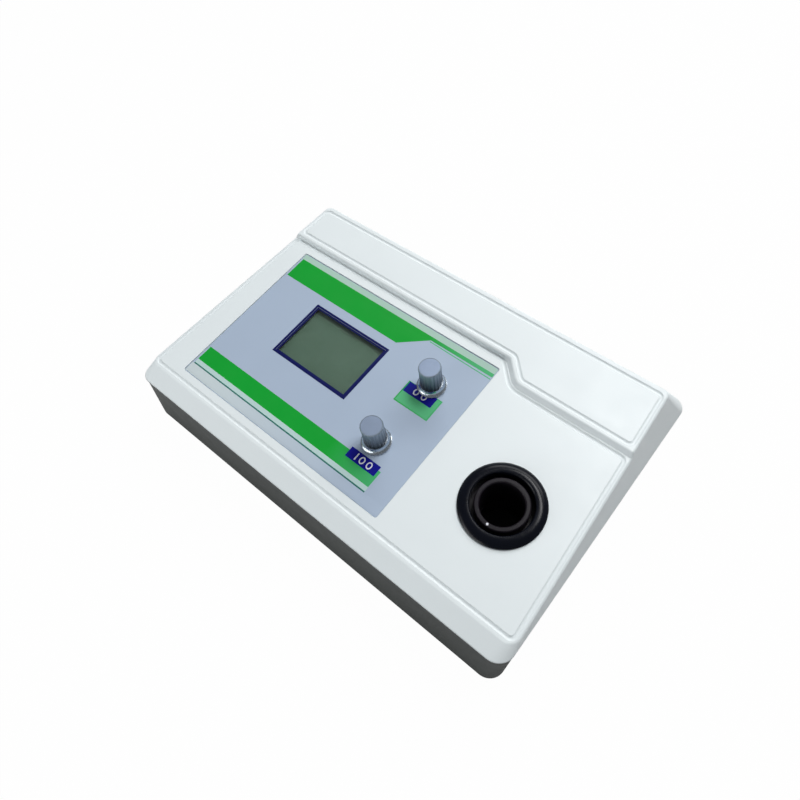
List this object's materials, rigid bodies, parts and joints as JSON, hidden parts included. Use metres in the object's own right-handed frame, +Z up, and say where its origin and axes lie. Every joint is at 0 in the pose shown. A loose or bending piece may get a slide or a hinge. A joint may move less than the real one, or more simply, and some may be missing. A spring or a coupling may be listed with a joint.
{
  "type": "benchtop turbidity meter",
  "caption": "Wedge-shaped bench meter with a stepped rear deck, a display panel with two turning knobs, a round sample well, a rocker switch and a mains inlet.",
  "frame": {"origin": "centre of the bounding box on the table, under the feet", "axes": "+X right of someone facing the panel, +Y towards the rear, +Z up"},
  "size_m": [0.29, 0.21, 0.0848],
  "materials": {
    "white_shell": "fine satin texture",
    "dark_shell": "fine matt texture",
    "overlay": "satin printed sheet",
    "window": "clear",
    "display": "satin polarizer",
    "diffuser": "satin",
    "black_plastic": "satin",
    "board": "solder mask",
    "zinc_steel": "zinc plated",
    "header_plastic": "satin",
    "ribbon": "satin",
    "pot_metal": "satin",
    "chrome": "polished",
    "gloss_black": "glossy",
    "satin_black": "black anodised",
    "optic_glass": "clear",
    "brass": "plated",
    "lead": "satin",
    "mains_lead": "satin",
    "capacitor": "sleeved",
    "heat_sink": "black anodised",
    "core_steel": "laminated",
    "coil": "taped",
    "rocker": "glossy",
    "rubber": "matt",
    "knob_metal": "polished flutes",
    "cap_metal": "satin"
  },
  "bodies": {
    "housing": {"upper_housing": "white_shell", "lower_housing": "dark_shell", "panel_overlay": "overlay", "display_window": "window", "display_frame": "black_plastic", "display_glass": "display", "display_backlight": "diffuser", "display_board": "board", "display_screws": "zinc_steel", "display_header": "header_plastic", "display_ribbon": "ribbon", "potentiometers": "pot_metal", "potentiometer_nuts": "chrome", "well_flange": "gloss_black", "well_nut": "black_plastic", "cell_holder": "satin_black", "optical_block": "satin_black", "block_screws": "zinc_steel", "lamp_lens": "optic_glass", "lamp_holder": "brass", "lamp": "optic_glass", "lamp_lead": "lead", "detectors": "pot_metal", "detector_boards": "board", "detector_screws": "zinc_steel", "main_board": "board", "board_screws": "zinc_steel", "processor": "black_plastic", "capacitors": "capacitor", "regulator": "black_plastic", "heat_sink": "heat_sink", "board_headers": "header_plastic", "transformer_core": "core_steel", "transformer_coil": "coil", "transformer_strap": "zinc_steel", "transformer_screws": "zinc_steel", "mains_leads": "mains_lead", "mains_inlet": "black_plastic", "inlet_pins": "brass", "power_switch": "black_plastic", "rubber_feet": "rubber", "housing_screws": "zinc_steel"},
    "zero_knob": {"zero_knob": "knob_metal", "zero_knob_ring": "chrome", "zero_knob_cap": "cap_metal", "zero_knob_shaft": "pot_metal"},
    "cal_knob": {"cal_knob": "knob_metal", "cal_knob_ring": "chrome", "cal_knob_cap": "cap_metal", "cal_knob_shaft": "pot_metal"},
    "power_rocker": {"power_rocker": "rocker"},
    "fuse_drawer": {"fuse_drawer": "black_plastic", "fuse": "optic_glass"}
  },
  "joints": [
    {"name": "zero_knob_turn", "type": "hinge", "parent": "housing", "child": "zero_knob", "pos_m": [0.0193, -0.00157, 0.06352], "axis": [0, -0.1736, 0.9848], "range_deg": [-150, 150]},
    {"name": "cal_knob_turn", "type": "hinge", "parent": "housing", "child": "cal_knob", "pos_m": [0.0162, -0.04983, 0.05502], "axis": [0, -0.1736, 0.9848], "range_deg": [-150, 150]},
    {"name": "power_rocker_tilt", "type": "hinge", "parent": "housing", "child": "power_rocker", "pos_m": [-0.046, 0.097, 0.0236], "axis": [1, 0, 0], "range_deg": [-24, 0]},
    {"name": "fuse_drawer_slide", "type": "slide", "parent": "housing", "child": "fuse_drawer", "axis": [0, 1, 0], "range_m": [0, 0.015]}
  ]
}
